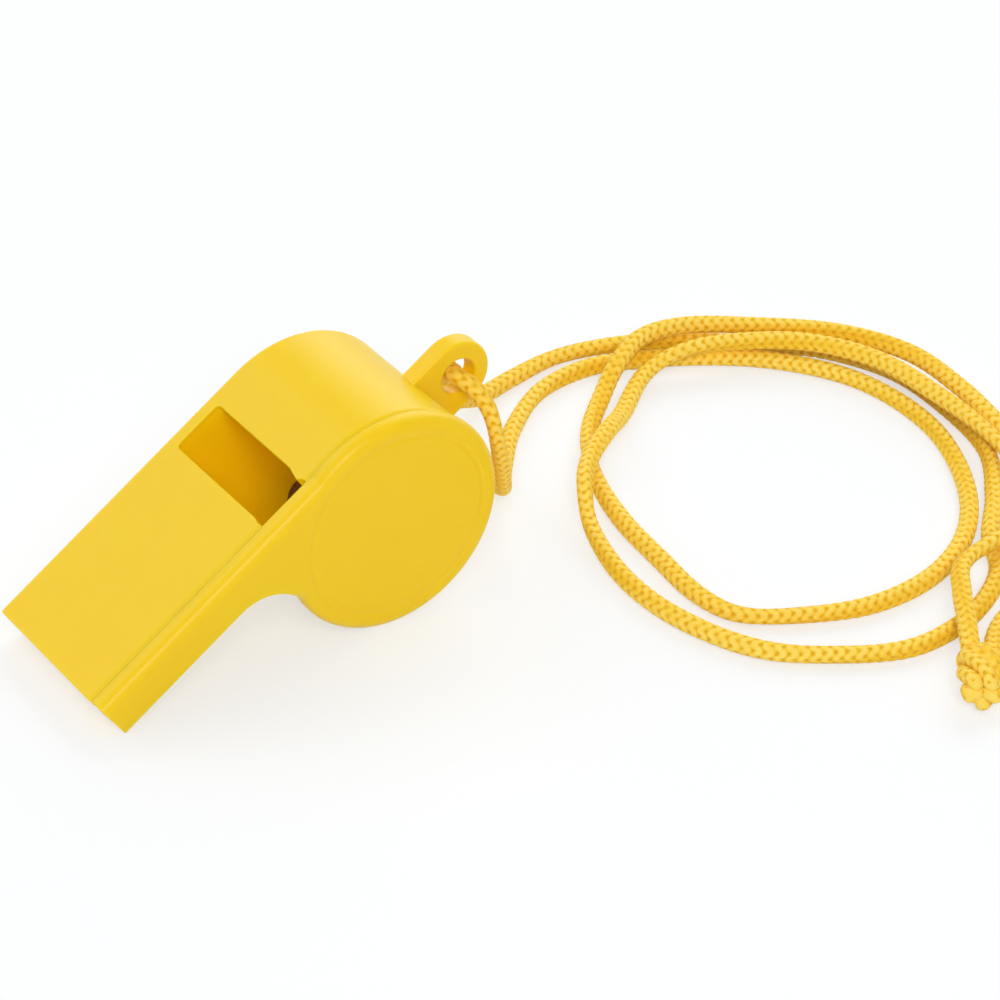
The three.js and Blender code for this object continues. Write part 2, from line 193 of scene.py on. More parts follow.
# %% The coil of spare cord
COIL_CENTRE = (84.0, -51.0)
COIL_RADIUS = 14.5
COIL_PITCH = 2.55
COIL_TURNS = 4
COIL_START = 165
COIL_END = 90
COIL_STEPS = 24
CLIMB_TURNS = 0.5

windings = COIL_TURNS + ((COIL_END - COIL_START + 360) % 360) / 360


def coil_place(turn):
    """A place on the coil, after so many turns, in millimetres."""
    middle = windings / 2
    climb = min(max((turn - middle) / CLIMB_TURNS + 0.5, 0), 1)
    angle = math.radians(COIL_START + 360 * turn)
    radius = COIL_RADIUS - COIL_PITCH * (middle - abs(turn - middle))
    x, y = COIL_CENTRE
    return (x + radius * math.cos(angle), y + radius * math.sin(angle), CORD_RADIUS + COIL_PITCH * climb)


def heading(angle):
    """The way that the coil runs at an angle, seen from above."""
    return Vector((-math.sin(math.radians(angle)), math.cos(math.radians(angle)), 0))


coil_steps = round(windings * COIL_STEPS)
loops = on_surface([coil_place(windings * i / coil_steps) for i in range(coil_steps + 1)])
lead_in = [loops[0] - heading(COIL_START) * MM * d for d in (CORD_DIAMETER + CORD_RADIUS, CORD_DIAMETER)]
lead_out = [loops[-1] + heading(COIL_END) * MM * d for d in (CORD_DIAMETER, CORD_DIAMETER + CORD_RADIUS)]
coil = lead_in + loops + lead_out
print("coil:", round(windings, 2), "turns")

# %% [markdown]
# The cord is knitted round: its surface is a zigzag of leaning stitches, with a small dark hole where
# four of them meet, and two long folds run along it and wander round it. A normal map could fake
# that, but the cord's outline shows the stitches too, so the tube itself is shaped by a formula of
# two numbers: how far a point lies along the cord, and how far round it. Both are kept in a UV map,
# so that the material can use the same formula at a finer scale than the mesh. The pattern would
# pinch on the rounded tip of a cut strand, so the tips take their look from one place, CROWN.

# %% A tube with a knitted relief
STITCH_COLUMNS = 8
SIDES_PER_COLUMN = 4
STITCH_LENGTH = 1.16
RINGS_PER_STITCH = 5
HOLE_ACROSS = 0.30
HOLE_ALONG = 0.20
LINE_WIDTH = 0.13
FOLD_WIDTH = 0.95
FOLD_PERIOD = 43.0
FOLD_MEAN = 0.6
FOLD_SWING = 0.4
FOLD_CALM = 0.6
LINE_DEPTH = 0.4
STITCH_RELIEF = 0.12
FOLD_RELIEF = 0.26
BRAID_TURN = 85.0
CROWN = (2.5 / STITCH_COLUMNS, 0.75 * STITCH_LENGTH)
TIP_SHARE = 0.55
TIP_LIMIT = 0.999
CURVE_STEPS = 24


def smooth_line(points, spacing):
    """A Catmull-Rom curve through the points, as evenly spaced places in metres."""
    p = np.array([2 * points[0] - points[1], *points, 2 * points[-1] - points[-2]])
    t = np.linspace(0, 1, CURVE_STEPS, endpoint=False)[:, None]
    pieces = []
    for a, b, c, d in zip(p, p[1:], p[2:], p[3:]):
        pieces.append(0.5 * (2 * b + (c - a) * t + (2 * a - 5 * b + 4 * c - d) * t**2
                             + (3 * b - a - 3 * c + d) * t**3))
    line = np.concatenate([*pieces, p[-2:-1]])
    along = np.concatenate([[0], np.cumsum(np.linalg.norm(np.diff(line, axis=0), axis=1))])
    at = np.linspace(0, along[-1], max(3, round(along[-1] / spacing) + 1))
    return np.stack([np.interp(at, along, line[:, k]) for k in range(3)], axis=1)


def cross_axes(line):
    """Two directions square to the line at each place, carried along it without twisting."""
    ahead = np.gradient(line, axis=0)
    ahead /= np.linalg.norm(ahead, axis=1)[:, None]
    side = np.zeros_like(ahead)
    start = np.array([0.0, 0.0, 1.0])
    side[0] = start - ahead[0] * (start @ ahead[0])
    side[0] /= np.linalg.norm(side[0])
    for i in range(1, len(line)):
        carried = side[i - 1] - ahead[i] * (side[i - 1] @ ahead[i])
        side[i] = carried / np.linalg.norm(carried)
    return side, np.cross(ahead, side)


def away(value, half_period):
    """How far a number lies from the nearest even multiple of half_period."""
    return np.abs(np.mod(value + half_period, 2 * half_period) - half_period)


def knit(turn, along):
    """(stitches, folds) at a place on the cord, each from 0 in a hollow to 1 on top."""
    place = STITCH_COLUMNS * (turn + along / BRAID_TURN)
    column, step = away(place, 1), away(along / STITCH_LENGTH, 0.5)
    holes = (np.exp(-((column / HOLE_ACROSS) ** 2 + (step / HOLE_ALONG) ** 2))
             + np.exp(-(((1 - column) / HOLE_ACROSS) ** 2 + ((0.5 - step) / HOLE_ALONG) ** 2)))
    lines = np.exp(-((away(along / STITCH_LENGTH - column / 2, 0.5) / LINE_WIDTH) ** 2))
    folds = np.exp(-((away(place, STITCH_COLUMNS / 4) / FOLD_WIDTH) ** 2))
    folds = folds * (FOLD_MEAN + FOLD_SWING * np.sin(along * 2 * np.pi / FOLD_PERIOD))
    return 1 - np.clip(holes + LINE_DEPTH * lines, 0, 1) * (1 - FOLD_CALM * folds), 1 - folds


def braided_tube(points, domed=False):
    """(corners, faces, uvs, centreline) of a knitted tube along the points, in metres."""
    line = smooth_line([np.array(p) for p in points], STITCH_LENGTH * MM / RINGS_PER_STITCH)
    side, other = cross_axes(line)
    sides = STITCH_COLUMNS * SIDES_PER_COLUMN
    turn = np.arange(sides) / sides
    along = np.arange(len(line)) * STITCH_LENGTH / RINGS_PER_STITCH
    stitches, folds = knit(turn[None, :], along[:, None])
    reach = (CORD_RADIUS - STITCH_RELIEF * (1 - stitches) - FOLD_RELIEF * (1 - folds)) * MM
    from_end = np.minimum(along, along[-1] - along)[:, None] / CORD_RADIUS
    if domed:
        reach = reach * np.sqrt(1 - np.clip(1 - from_end, 0, TIP_LIMIT) ** 2)
    angle = 2 * np.pi * turn
    corners = (line[:, None, :] + side[:, None, :] * (reach * np.cos(angle))[..., None]
               + other[:, None, :] * (reach * np.sin(angle))[..., None])
    ring = np.arange(sides)
    after = (ring + 1) % sides
    rows = np.arange(len(line) - 1)[:, None]
    quads = np.stack([rows * sides + ring, rows * sides + after,
                      (rows + 1) * sides + after, (rows + 1) * sides + ring], axis=-1)
    low, high = along[:-1, None] + 0 * turn, along[1:, None] + 0 * turn
    here, there = turn + 0 * low, turn + 1 / sides + 0 * low
    uvs = np.stack([here, low, there, low, there, high, here, high], axis=-1).reshape(-1, 4, 2)
    if domed:
        tips = np.repeat(from_end[:-1, 0] < TIP_SHARE, sides)
        uvs[tips] = CROWN
    last = (len(line) - 1) * sides
    faces = quads.reshape(-1, 4).tolist() + [ring[::-1].tolist(), (ring + last).tolist()]
    uvs = np.concatenate([uvs.reshape(-1, 2), np.zeros((2 * sides, 2)) + CROWN])
    return corners.reshape(-1, 3), faces, uvs, line


def add_mesh(name, corners, faces, uvs=None):
    """A smooth object in the scene, with the knit's UV map if it has one."""
    mesh = bpy.data.meshes.new(name)
    mesh.from_pydata([tuple(c) for c in corners], [], faces)
    if uvs is not None:
        mesh.uv_layers.new(name="knit").data.foreach_set("uv", np.ravel(uvs))
    mesh.shade_smooth()
    made = bpy.data.objects.new(name, mesh)
    bpy.context.scene.collection.objects.link(made)
    return made


near_points = near_side + near_drop + near_loops + coil + near_return
far_points = far_side + far_drop + far_loops
*near_tube, near_line = braided_tube(near_points)
*far_tube, far_line = braided_tube(far_points)
cord_near = add_mesh("neck_cord_near", *near_tube)
cord_far = add_mesh("neck_cord_far", *far_tube)


def length_of(line):
    """The length of a line of places, in metres."""
    return float(np.linalg.norm(np.diff(line, axis=0), axis=1).sum())


print("near cord", round(length_of(near_line) / MM), "mm, far cord", round(length_of(far_line) / MM), "mm")

# %% [markdown]
# The knot joins both ends. Pulled tight, it is a short barrel: the strands run down it at a slant,
# one strand wraps round its middle the other way, and the trimmed ends come out below, pressed
# together. Each strand is a knitted tube again, laid along a slanting line on the barrel.

# %% The knot
KNOT_CENTRE = (42.3, -51.55)
KNOT_HEADING = math.radians(231)
KNOT_HEIGHT = 2.65
BARREL_STRANDS = 5
BARREL_TURN = 0.38
BARREL_RADIUS = 1.5
BARREL_MIDDLE = 0.9
NECK_TAPER = 0.45
FOOT_TAPER = 0.3
BARREL_REACH = 3.2
WRAP_RADIUS = 1.5
WRAP_LEAN = 0.6
WRAP_TURNS = 1.1
WRAP_START = -2.2
WRAP_MIDDLE = -1.1
WRAP_RISE = 0.5
TAIL_PLACES = ((0.5, 0.0, 0.0), (0.7, 1.95, 0.0), (0.84, 4.2, -0.35))
STEPS_PER_STRAND = 18

knot_place = (Matrix.Translation(on_surface([(*KNOT_CENTRE, KNOT_HEIGHT)])[0])
              @ Matrix.Rotation(KNOT_HEADING - math.pi / 2, 4, "Z") @ Matrix.Scale(MM, 4))


def barrel_strand(index):
    """A strand that slants down the barrel, closer to its axis at both ends."""
    places = []
    for i in range(STEPS_PER_STRAND + 1):
        t = 2 * i / STEPS_PER_STRAND - 1
        angle = 2 * math.pi * (index / BARREL_STRANDS + BARREL_TURN * t / 2)
        radius = BARREL_RADIUS * (1 - (NECK_TAPER * t ** 4 if t < 0 else FOOT_TAPER * t ** 3))
        along = BARREL_MIDDLE + BARREL_REACH * t
        places.append(Vector((radius * math.cos(angle), along, radius * math.sin(angle))))
    return places


def barrel_wrap():
    """A strand that goes once round the barrel, leaning against the slant of the others."""
    places = []
    for i in range(STEPS_PER_STRAND * 2 + 1):
        angle = 2 * math.pi * WRAP_TURNS * i / (STEPS_PER_STRAND * 2) + WRAP_START
        lean_along = WRAP_LEAN * WRAP_RADIUS * math.cos(angle)
        along = WRAP_MIDDLE - lean_along + WRAP_RISE * i / STEPS_PER_STRAND
        places.append(Vector((WRAP_RADIUS * math.cos(angle), along, WRAP_RADIUS * math.sin(angle))))
    return places


def knot_tail(side):
    """A trimmed end, on one side of the barrel's axis or the other."""
    return [Vector((x * side, y, z)) for x, y, z in TAIL_PLACES]


def make_knot():
    """All the strands as one mesh."""
    strands = [barrel_strand(i) for i in range(BARREL_STRANDS)] + [barrel_wrap()]
    strands += [knot_tail(side) for side in (-1, 1)]
    corners, faces, uvs, count = [], [], [], 0
    for strand in strands:
        new_corners, new_faces, new_uvs, _ = braided_tube([knot_place @ p for p in strand], domed=True)
        faces += [[v + count for v in face] for face in new_faces]
        count += len(new_corners)
        corners.append(new_corners)
        uvs.append(new_uvs)
    return add_mesh("cord_knot", np.concatenate(corners), faces, np.concatenate(uvs))


knot = make_knot()
print("knot:", len(knot.data.polygons), "faces")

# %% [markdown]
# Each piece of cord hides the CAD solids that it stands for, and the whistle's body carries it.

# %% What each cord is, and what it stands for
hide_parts("cord_near", "cord_coil", "cord_near_end")
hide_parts("cord_far")
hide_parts("knot")
for piece in (cord_near, cord_far, knot):
    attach(piece, "whistle")
print("declared:", cord_near.name, cord_far.name, "and", knot.name)

# %% [markdown]
# Solids are cut from each other with exact booleans, as a toolmaker cuts a mould. Each starts as an
# outline pushed straight along one axis. The edges of a moulding are never quite sharp, and a thin
# line of light on them is what makes it look real, so a narrow bevel follows the cuts. It goes only
# on the rims of the flat top and the tip, because a bevel inside the window would cross the cuts.

# %% Outlines, prisms and cuts, in millimetres
ARC_STEP = 2.5
CHAMBER_STEPS = 116
THROAT_STEPS = 24
EDGE_ANGLE = math.radians(24)
FLAT_ANGLE = math.radians(0.3)
WELD_SHARE = 0.4
SLIVER_SHARE = 0.2
BEVEL_SEGMENTS = 2
FACE_WEIGHT = 90
SKIN = 0.2
OVERCUT = 1.0


def arc(centre, radius, start, end, step=ARC_STEP, count=0):
    """Points of an arc, between two angles in degrees."""
    count = count or max(2, math.ceil(abs(end - start) / step))
    angles = [math.radians(start + (end - start) * i / count) for i in range(count + 1)]
    return [(centre[0] + radius * math.cos(a), centre[1] + radius * math.sin(a)) for a in angles]


def across(u, w, y):
    """A point of the side view, pushed across the whistle."""
    return Vector((u, y, w))


def upright(u, y, w):
    """A point of the plan, pushed up."""
    return Vector((u, y, w))


def to_object(shape, name):
    """An object in the scene, from a mesh that was built point by point."""
    mesh = bpy.data.meshes.new(name)
    shape.to_mesh(mesh)
    shape.free()
    made = bpy.data.objects.new(name, mesh)
    bpy.context.scene.collection.objects.link(made)
    return made


def loft(outlines, depths, place=across):
    """A closed solid through outlines of equal point count, each at its depth."""
    shape = bmesh.new()
    rings = [[shape.verts.new(place(a, b, depth)) for a, b in outline]
             for outline, depth in zip(outlines, depths)]
    for low, high in zip(rings, rings[1:]):
        for i in range(len(low)):
            j = (i + 1) % len(low)
            shape.faces.new((low[i], low[j], high[j], high[i]))
    shape.faces.new(rings[0][::-1])
    shape.faces.new(rings[-1])
    bmesh.ops.recalc_face_normals(shape, faces=shape.faces)
    return to_object(shape, "shape")


def prism(outline, low, high, place=across):
    """The same outline at two depths."""
    return loft([outline, outline], [low, high], place)


def apply_modifiers(piece):
    """Keep what the modifiers make as the piece's own mesh."""
    seen = piece.evaluated_get(bpy.context.evaluated_depsgraph_get())
    mesh = bpy.data.meshes.new_from_object(seen)
    piece.modifiers.clear()
    piece.data = mesh


def combine(piece, operation, *tools):
    """Add the tools to the piece, cut them from it, or keep what both hold."""
    for tool in tools:
        change = piece.modifiers.new("change", "BOOLEAN")
        change.operation = operation
        change.solver = "EXACT"
        change.object = tool
        apply_modifiers(piece)
        bpy.data.objects.remove(tool)
    return piece


def finish_edges(piece, width):
    """Clean the cuts, bevel the rims of the flat top and the tip, and keep the other edges crisp."""
    shape = bmesh.new()
    shape.from_mesh(piece.data)
    bmesh.ops.remove_doubles(shape, verts=shape.verts, dist=width * WELD_SHARE)
    bmesh.ops.dissolve_degenerate(shape, edges=shape.edges, dist=width * SLIVER_SHARE)
    bmesh.ops.dissolve_limit(shape, angle_limit=FLAT_ANGLE, verts=shape.verts, edges=shape.edges)
    weight = shape.edges.layers.float.new("bevel_weight_edge")
    for edge in shape.edges:
        if edge.is_manifold and edge.calc_face_angle() > EDGE_ANGLE:
            on_top = all(vert.co.z > CHAMBER_RADIUS - SKIN for vert in edge.verts)
            on_tip = all(vert.co.x < SKIN - REACH for vert in edge.verts)
            edge[weight] = float(on_top or on_tip)
            edge.smooth = on_top or on_tip
    shape.to_mesh(piece.data)
    shape.free()
    bevel = piece.modifiers.new("bevel", "BEVEL")
    bevel.limit_method = "WEIGHT"
    bevel.width = width
    bevel.segments = BEVEL_SEGMENTS
    bevel.use_clamp_overlap = False
    bevel.miter_outer = "MITER_ARC"
    weighted = piece.modifiers.new("normals", "WEIGHTED_NORMAL")
    weighted.weight = FACE_WEIGHT
    weighted.keep_sharp = True
    apply_modifiers(piece)


def lay_down(piece, name):
    """Turn an upright millimetre shape into the whistle as it lies, in metres."""
    piece.name = name
    piece.data.name = name
    piece.data.transform(upright_to_lying)
    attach(piece, "whistle")
    return piece


def crown_angle(radius, top):
    """Where a circle about the axis runs into the flat top, as an angle from +u."""
    return 180 - math.degrees(math.asin(top / radius))


def side_view(radius, tip, throat_radius=THROAT_RADIUS, inset=0.0):
    """Underside, throat arc, round chamber and flat top, moved inward by inset except at the tip."""
    meet = 180 - math.degrees(math.asin((UNDERSIDE - THROAT_RADIUS) / (radius + THROAT_RADIUS)))
    middle = radius + throat_radius
    centre = (middle * math.cos(math.radians(meet)), middle * math.sin(math.radians(meet)))
    throat = arc(centre, throat_radius + inset, 90, meet - 180, count=THROAT_STEPS)
    top = CHAMBER_RADIUS - inset
    end = 360 + crown_angle(radius - inset, top)
    chamber = arc((0, 0), radius - inset, meet, end, count=CHAMBER_STEPS)[1:]
    return [(-tip, throat[0][1]), *throat, *chamber, (-tip, top)]


print("side view:", len(side_view(CHAMBER_RADIUS, REACH)), "points")

# %% [markdown]
# The body is one moulding: the far wall, the round chamber, the mouthpiece and the lug, all open on
# the near side. Air goes in through the windway, a flat channel under the mouthpiece's roof, and
# across the window to the labium, the sharp edge that splits it. All three are real cuts here,
# because light falls through the window to the chamber's floor and the pea. LIP and NICK are the
# small step and the small notch that the photo shows at the window's near corners.

# %% The body
SEAM = COVER_THICKNESS - HALF_WIDTH
SEAM_GAP = 0.005
BODY_NEAR = SEAM + SEAM_GAP
FAR_INNER = HALF_WIDTH - FAR_WALL
FAR_ROUND = 0.45
NEAR_DROP = 0.28
NEAR_DEPTH = 0.55
TOP_DROP = 0.11
RIM_RAMP = 12
WINDOW_REAR = -3.74
WINDOW_FRONT = -9.70
WINDOW_CORNER = 0.5
LIP = [(-3.74, -7.4), (-4.18, -6.7), (-3.98, -5.8), (-3.74, -4.9)]
NICK = [(-9.70, -6.4), (-9.92, -7.1), (-9.84, -7.9)]
ROOF = 1.2
WINDWAY_HEIGHT = 1.2
WINDWAY_FLARE = 0.6
LABIUM_EDGE = 1.2
LABIUM_RAMP = 2.2
LUG_DROP = 0.4
LUG_END_RADIUS = 3.9
LUG_THICKNESS = 2.2
LUG_ROUND = 0.35
LUG_HOLE = 4.0
LUG_STEP = 5
HOLE_STEP = 6
CORNER_STEP = 15
ROUND_STEPS = 6
SHARPEST = 0.3
EDGE_BEVEL = 0.1


def drum(radius, low, high):
    """A round disc about the chamber's axis."""
    return prism(arc((0, 0), radius, 0, 360 - ARC_STEP), low, high)


def shrink(outline, insets):
    """Move each point of an outline inward, by one inset or its own, along its corner's bisector."""
    moved = []
    insets = insets if isinstance(insets, list) else [insets] * len(outline)
    neighbours = zip(outline[-1:] + outline[:-1], outline, outline[1:] + outline[:1], insets)
    for before, here, after, inset in neighbours:
        one = Vector((here[0] - before[0], here[1] - before[1])).normalized()
        two = Vector((after[0] - here[0], after[1] - here[1])).normalized()
        bisector = (Vector((-one.y, one.x)) + Vector((-two.y, two.x))).normalized()
        share = max(bisector.dot(Vector((-one.y, one.x))), SHARPEST)
        moved.append((here[0] + bisector.x * inset / share, here[1] + bisector.y * inset / share))
    return moved


def rounding(radius, steps=ROUND_STEPS):
    """(inset, depth) of a quarter round's steps, from the face inward."""
    turns = [math.pi / 2 * i / steps for i in range(steps + 1)]
    return [(radius * (1 - math.sin(t)), radius * (1 - math.cos(t))) for t in turns]


def rolled_edge(outline, drop, depth):
    """Outlines and depths of an edge that falls by drop round the chamber, and less along the top.

    The fall is steep at the face and runs out level at the depth. In the outline, the chamber's arc
    comes after the tip's lower corner and the throat's arc, and before the tip's upper corner.
    """
    first, last = THROAT_STEPS + 2, len(outline) - 2
    shares = [min(max(min(k - first, last - k) / RIM_RAMP, 0), 1) for k in range(len(outline))]
    drops = [TOP_DROP + (drop - TOP_DROP) * share for share in shares]
    levels = [i / ROUND_STEPS for i in range(ROUND_STEPS + 1)]
    return ([shrink(outline, [fall * (1 - level) ** 2 for fall in drops]) for level in levels],
            [depth * level for level in levels])


def make_lug():
    """A flat tongue with a round end, rounded edges and a rounded hole."""
    root = BORE_RADIUS
    outline = [(root, -LUG_DROP - LUG_END_RADIUS),
               *arc((LUG_REACH, -LUG_DROP), LUG_END_RADIUS, -90, 90, LUG_STEP),
               (root, LUG_END_RADIUS - LUG_DROP)]
    steps = rounding(LUG_ROUND)
    half = LUG_THICKNESS / 2
    outlines = [shrink(outline, inset) for inset, depth in steps]
    depths = [-half + depth for inset, depth in steps]
    lug = loft(outlines + outlines[::-1], depths + [-d for d in depths[::-1]])
    centre = (LUG_REACH, -LUG_HOLE_DROP)
    insets = [inset for inset, depth in steps]
    wide, *rings = [arc(centre, LUG_HOLE / 2 + inset, 0, 360 - HOLE_STEP, HOLE_STEP)
                    for inset in (LUG_ROUND, *insets)]
    bore = loft([wide, *rings, *rings[::-1], wide],
                [-half - OVERCUT, *depths, *[-d for d in depths[::-1]], half + OVERCUT])
    return combine(lug, "DIFFERENCE", bore)


def make_window_cut():
    """The window's plan, pushed up from the chamber's axis through the roof."""
    far = FAR_INNER - WINDOW_CORNER
    plan = [(WINDOW_FRONT, BODY_NEAR - OVERCUT), (WINDOW_REAR, BODY_NEAR - OVERCUT), *LIP,
            *arc((WINDOW_REAR - WINDOW_CORNER, far), WINDOW_CORNER, 0, 90, CORNER_STEP),
            *arc((WINDOW_FRONT + WINDOW_CORNER, far), WINDOW_CORNER, 90, 180, CORNER_STEP), *NICK]
    return prism(plan, 0, CHAMBER_RADIUS + OVERCUT, upright)


def make_windway_cut():
    """A flat channel that narrows a little on its way to the window."""
    roof = CHAMBER_RADIUS - ROOF
    rise = WINDWAY_FLARE / (REACH + WINDOW_FRONT)
    outline = [(-REACH - OVERCUT, roof - WINDWAY_HEIGHT - WINDWAY_FLARE - rise * OVERCUT),
               (WINDOW_FRONT + OVERCUT, roof - WINDWAY_HEIGHT + rise * OVERCUT),
               (WINDOW_FRONT + OVERCUT, roof),
               (-REACH - OVERCUT, roof)]
    return prism(outline, BODY_NEAR - OVERCUT, FAR_INNER)


def make_labium_cut():
    """The ramp behind the window, which leaves a thin edge."""
    edge = CHAMBER_RADIUS - LABIUM_EDGE
    ramp_u = WINDOW_REAR + LABIUM_RAMP
    ramp_w = math.sqrt(BORE_RADIUS ** 2 - ramp_u ** 2)
    inside = ramp_w - CHAMBER_WALL
    outline = [(WINDOW_REAR - LABIUM_EDGE, inside), (ramp_u, inside), (ramp_u, ramp_w),
               (WINDOW_REAR, edge), (WINDOW_REAR - LABIUM_EDGE, edge)]
    return prism(outline, BODY_NEAR - OVERCUT, FAR_INNER)


def make_body():
    """The outline pushed across and joined to the lug, with its cuts made."""
    outline = side_view(CHAMBER_RADIUS, REACH)
    near, near_depths = rolled_edge(outline, NEAR_DROP, NEAR_DEPTH)
    far = rounding(FAR_ROUND)[::-1]
    outlines = near + [shrink(outline, inset) for inset, depth in far]
    depths = [BODY_NEAR + depth for depth in near_depths] + [HALF_WIDTH - depth for inset, depth in far]
    body = loft(outlines, depths)
    combine(body, "UNION", make_lug())
    combine(body, "DIFFERENCE", drum(BORE_RADIUS, BODY_NEAR - OVERCUT, FAR_INNER),
            make_windway_cut(), make_window_cut(), make_labium_cut())
    finish_edges(body, EDGE_BEVEL)
    return lay_down(body, "moulded_body")


body = make_body()
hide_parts("whistle_body")
print("body:", len(body.data.polygons), "faces")

# %% [markdown]
# The cover is a plate of the same outline, welded on the near side. Its rim stands a little proud of
# the chamber, its outer edge is rolled over by about a millimetre, and a shallow ring groove follows
# the chamber's bore on its face. The rolled edge is a loft: the outline shrinks along a quarter circle.
# Where the two mouldings meet, both edges fall away a little, which leaves the soft valley of a seam.

# %% The cover
COVER_ROUND = 1.1
RIM_DROP = 0.60
RIM_DEPTH = 0.80
COVER_THROAT_RADIUS = 2.2
TIP_SETBACK = 0.15
SPIGOT_HEIGHT = 0.7
COVER_STEPS = 8
RING_DEPTH = 0.06
RING_SECTION = 1.2
RING_TURNS = 144
RING_SIDES = 64


def make_ring():
    """A ring of round section that dips into the cover's face by RING_DEPTH."""
    shape = bmesh.new()
    depth = RING_DEPTH - RING_SECTION - HALF_WIDTH
    rings = []
    for i in range(RING_TURNS):
        a = 2 * math.pi * i / RING_TURNS
        ring = []
        for j in range(RING_SIDES):
            b = 2 * math.pi * j / RING_SIDES
            radius = BORE_RADIUS - CLEARANCE + RING_SECTION * math.cos(b)
            ring.append(shape.verts.new((
                radius * math.cos(a), depth + RING_SECTION * math.sin(b), radius * math.sin(a))))
        rings.append(ring)
    for one, two in zip(rings, rings[1:] + rings[:1]):
        for j in range(RING_SIDES):
            k = (j + 1) % RING_SIDES
            shape.faces.new((one[j], one[k], two[k], two[j]))
    bmesh.ops.recalc_face_normals(shape, faces=shape.faces)
    return to_object(shape, "ring")


def make_cover():
    """The plate: its outline, kept inside a form that rolls over, with a spigot and a groove."""
    tip = REACH - TIP_SETBACK
    outline = side_view(COVER_RADIUS, tip)
    back, back_depths = rolled_edge(outline, RIM_DROP, RIM_DEPTH)
    cover = loft([outline, *back[::-1]], [-HALF_WIDTH, *[SEAM - depth for depth in back_depths[::-1]]])
    steps = rounding(COVER_ROUND, COVER_STEPS)
    outlines = [side_view(COVER_RADIUS, tip + 2 * COVER_ROUND, COVER_THROAT_RADIUS, inset)
                for inset, depth in steps]
    outlines.append(outlines[-1])
    depths = [-HALF_WIDTH + depth for inset, depth in steps] + [SEAM + COVER_ROUND]
    combine(cover, "INTERSECT", loft(outlines, depths))
    combine(cover, "UNION", drum(BORE_RADIUS - CLEARANCE, SEAM - CLEARANCE, SEAM + SPIGOT_HEIGHT))
    combine(cover, "DIFFERENCE", make_ring())
    finish_edges(cover, EDGE_BEVEL)
    return lay_down(cover, "side_plate")


cover = make_cover()
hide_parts("side_cover")
print("cover:", len(cover.data.polygons), "faces")

# %% [markdown]
# The pea is a ball of pressed cork that lies loose in the chamber. A ball with a few layers of noise
# gives it the crumbs and pits of cork, and it stays inside the space of its CAD solid.

# %% The pea
PEA_RADIUS = 4.5
PEA_RELIEF = 0.28
PEA_SUBDIVISIONS = 6
CRUMB_SCALE = 3.2
CRUMB_DETAIL = (1.0, 2.1, 4)
CRUMB_DEPTH = 0.5
PIT_SCALE = 9.0
PIT_LEVEL = 0.25
PIT_DEPTH = 1.3
BUMP_LIMIT = 0.35

pea_low, pea_high = (Vector(corner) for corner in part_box("pea"))
pea_centre = (pea_low + pea_high) / 2


def make_pea():
    """A ball whose points move in by the crumbs and pits in their direction."""
    shape = bmesh.new()
    bmesh.ops.create_icosphere(shape, subdivisions=PEA_SUBDIVISIONS, radius=1)
    for vert in shape.verts:
        way = vert.co.normalized()
        crumbs = noise.fractal(way * CRUMB_SCALE, *CRUMB_DETAIL)
        pits = min(noise.noise(way * PIT_SCALE) + PIT_LEVEL, 0)
        dent = min(max(CRUMB_DEPTH * crumbs + PIT_DEPTH * pits, -1), BUMP_LIMIT) - BUMP_LIMIT
        vert.co = pea_centre + way * (PEA_RADIUS + PEA_RELIEF * dent) * MM
    made = to_object(shape, "cork_pea")
    made.data.shade_smooth()
    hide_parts("pea")
    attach(made, "pea")
    return made


pea = make_pea()
print("pea:", len(pea.data.polygons), "faces")

# %% [markdown]
# Finishes are node trees, written as expressions. One small class wraps a socket so that plus, minus
# and times add the right Math nodes, and one method adds any other node.

# %% Shader expressions
class Value:
    """A socket that can be used in an expression."""

    def __init__(self, finish, socket):
        self.finish = finish
        self.socket = socket

    def combined(self, operation, first, second):
        """A Math node for numbers, or a Vector Math node for a vector."""
        if self.socket.type == "VECTOR":
            number = not isinstance(second, (Value, tuple))
            operation, key = ("SCALE", "Scale") if number else (operation, 1)
            return self.finish.node("VectorMath", {"operation": operation}, {0: first, key: second})
        return self.finish.node("Math", {"operation": operation}, {0: first, 1: second})

    def __add__(self, other):
        return self.combined("ADD", self, other)

    __radd__ = __add__

    def __mul__(self, other):
        return self.combined("MULTIPLY", self, other)

    __rmul__ = __mul__

    def __sub__(self, other):
        return self.combined("SUBTRACT", self, other)

    def __rsub__(self, other):
        return self.combined("SUBTRACT", other, self)

    def clipped(self):
        """Kept from 0 to 1."""
        return self.finish.node("Clamp", {}, {"Value": self})

    def away(self, half_period):
        """How far a number lies from the nearest even multiple of half_period."""
        return self.finish.node("Math", {"operation": "PINGPONG"}, {0: self, 1: half_period})

    def length(self):
        """The length of a vector."""
        return self.finish.node("VectorMath", {"operation": "LENGTH"}, {0: self}, "Value")

    def toward(self, way):
        """How far a vector reaches along a direction."""
        return self.finish.node("VectorMath", {"operation": "DOT_PRODUCT"}, {0: self, 1: way}, "Value")


